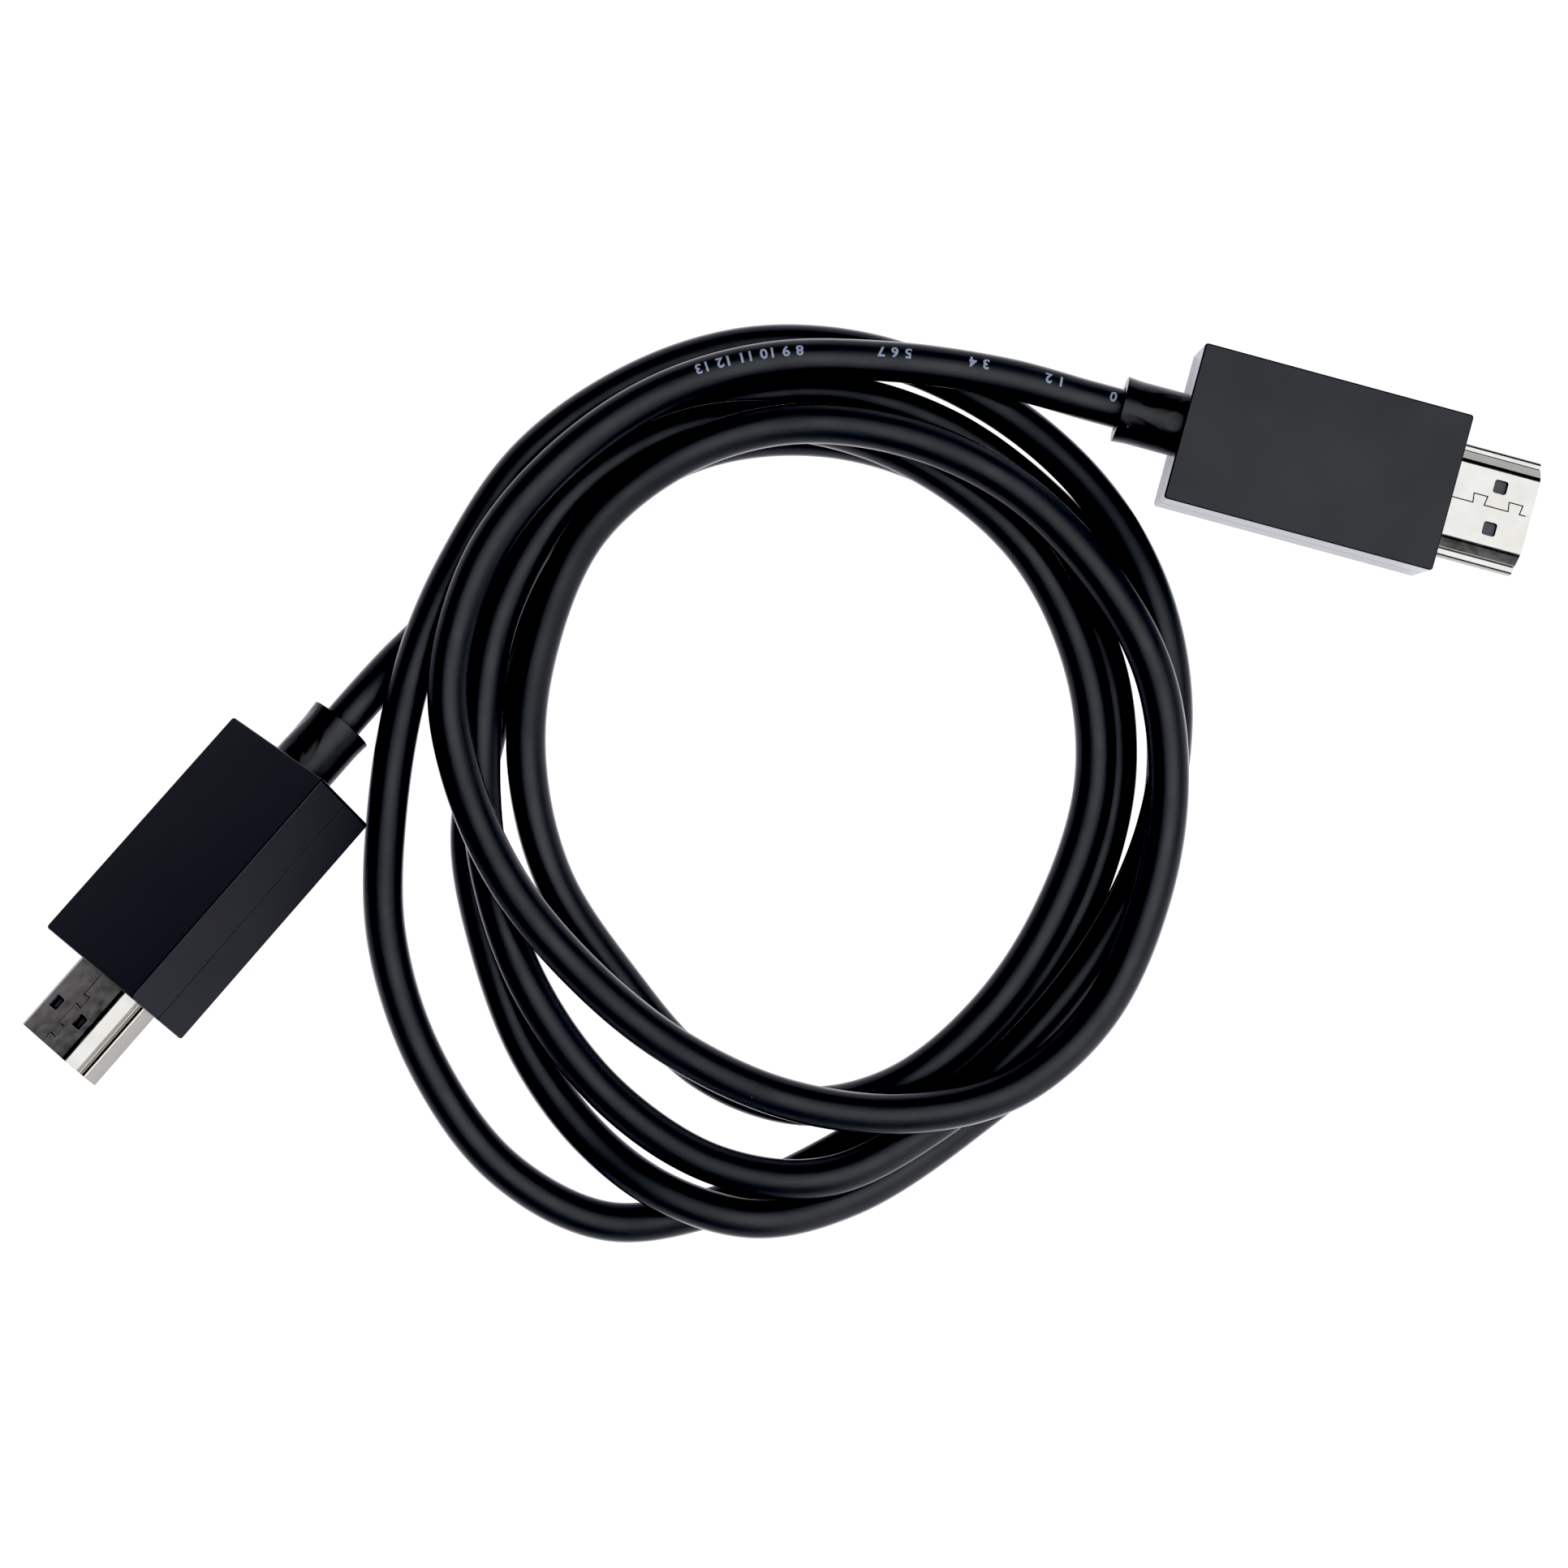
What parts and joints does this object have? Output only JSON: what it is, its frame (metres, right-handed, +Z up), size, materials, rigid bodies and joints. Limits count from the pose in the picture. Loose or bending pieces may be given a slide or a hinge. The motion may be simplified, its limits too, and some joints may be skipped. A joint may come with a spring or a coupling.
{
  "type": "hdmi cable",
  "caption": "Digital audio and video cable, loosely coiled, with a flat metal-shelled plug and a short strain relief at each end.",
  "frame": {"origin": "on the surface the cable lies on, under the middle of the box around the two plugs", "axes": "+Z up from the surface; X along the longer way from plug b on the left to plug a on the right, Y away from the viewer"},
  "size_m": [0.1802, 0.1104, 0.0256],
  "materials": {
    "jacket": "satin black PVC jacket",
    "housing": "fine matte black moulded plastic",
    "strain_relief": "satin black moulded PVC",
    "connector_shell": "bright nickel plate on folded sheet",
    "insulator": "black moulded plastic",
    "contact": "gold plated spring contact"
  },
  "bodies": {
    "root": {"cable": "jacket", "housing_top_a": "housing", "housing_bottom_a": "housing", "strain_relief_a": "strain_relief", "connector_shell_a": "connector_shell", "insulator_a": "insulator", "contact_a_01": "contact", "contact_a_02": "contact", "contact_a_03": "contact", "contact_a_04": "contact", "contact_a_05": "contact", "contact_a_06": "contact", "contact_a_07": "contact", "contact_a_08": "contact", "contact_a_09": "contact", "contact_a_10": "contact", "contact_a_11": "contact", "contact_a_12": "contact", "contact_a_13": "contact", "contact_a_14": "contact", "contact_a_15": "contact", "contact_a_16": "contact", "contact_a_17": "contact", "contact_a_18": "contact", "contact_a_19": "contact", "housing_top_b": "housing", "housing_bottom_b": "housing", "strain_relief_b": "strain_relief", "connector_shell_b": "connector_shell", "insulator_b": "insulator", "contact_b_01": "contact", "contact_b_02": "contact", "contact_b_03": "contact", "contact_b_04": "contact", "contact_b_05": "contact", "contact_b_06": "contact", "contact_b_07": "contact", "contact_b_08": "contact", "contact_b_09": "contact", "contact_b_10": "contact", "contact_b_11": "contact", "contact_b_12": "contact", "contact_b_13": "contact", "contact_b_14": "contact", "contact_b_15": "contact", "contact_b_16": "contact", "contact_b_17": "contact", "contact_b_18": "contact", "contact_b_19": "contact"}
  },
  "joints": []
}
